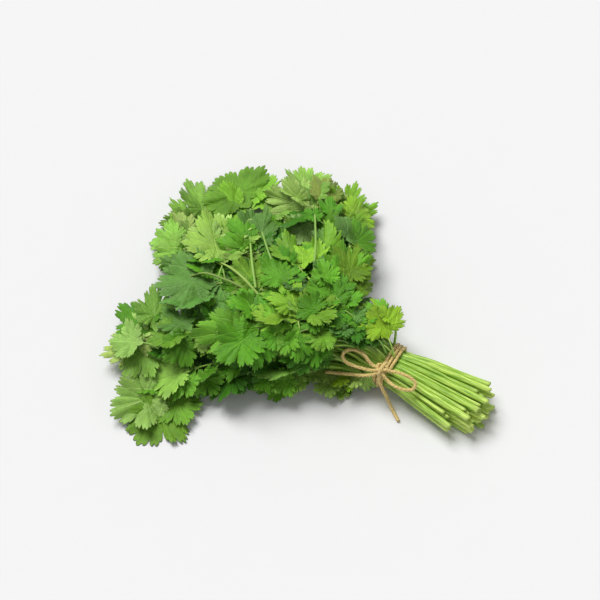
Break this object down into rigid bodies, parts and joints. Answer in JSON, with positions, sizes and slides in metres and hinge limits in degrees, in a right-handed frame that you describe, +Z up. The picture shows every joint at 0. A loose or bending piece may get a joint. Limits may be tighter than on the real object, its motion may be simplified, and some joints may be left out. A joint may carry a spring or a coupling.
{
  "type": "coriander bunch",
  "caption": "Bunch of fresh coriander lying on its side: long green stems tied with a jute bow, fanning out into a loose mass of lobed, toothed leaves.",
  "frame": {"origin": "on the surface that the bunch lies on, under the centre of the bounding box of its leaves, stems and tie", "axes": "+X along the stems from the leaves to the cut ends, +Y across the bunch, +Z up from the surface"},
  "size_m": [0.2452, 0.2212, 0.0451],
  "materials": {
    "leaf": "fresh green leaf, softly glossy, paler below",
    "stem": "smooth moist pale green stem",
    "twine": "matt twisted jute fibre"
  },
  "bodies": {
    "root": {"leaf_01": "leaf", "leaf_02": "leaf", "leaf_03": "leaf", "leaf_04": "leaf", "leaf_05": "leaf", "leaf_06": "leaf", "leaf_07": "leaf", "leaf_08": "leaf", "leaf_09": "leaf", "leaf_10": "leaf", "leaf_11": "leaf", "leaf_12": "leaf", "leaf_13": "leaf", "leaf_14": "leaf", "leaf_15": "leaf", "leaf_16": "leaf", "leaf_17": "leaf", "leaf_18": "leaf", "leaf_19": "leaf", "leaf_20": "leaf", "leaf_21": "leaf", "leaf_22": "leaf", "leaf_23": "leaf", "leaf_24": "leaf", "leaf_25": "leaf", "leaf_26": "leaf", "leaf_27": "leaf", "leaf_28": "leaf", "leaf_29": "leaf", "leaf_30": "leaf", "leaf_31": "leaf", "leaf_32": "leaf", "leaf_33": "leaf", "leaf_34": "leaf", "stem_01": "stem", "stem_02": "stem", "stem_03": "stem", "stem_04": "stem", "stem_05": "stem", "stem_06": "stem", "stem_07": "stem", "stem_08": "stem", "stem_09": "stem", "stem_10": "stem", "stem_11": "stem", "stem_12": "stem", "stem_13": "stem", "stem_14": "stem", "stem_15": "stem", "stem_16": "stem", "stem_17": "stem", "stem_18": "stem", "stem_19": "stem", "stem_20": "stem", "twine_wrap": "twine", "twine_knot": "twine", "twine_loop_left": "twine", "twine_loop_right": "twine", "twine_tail_left": "twine", "twine_tail_right": "twine"}
  },
  "joints": []
}
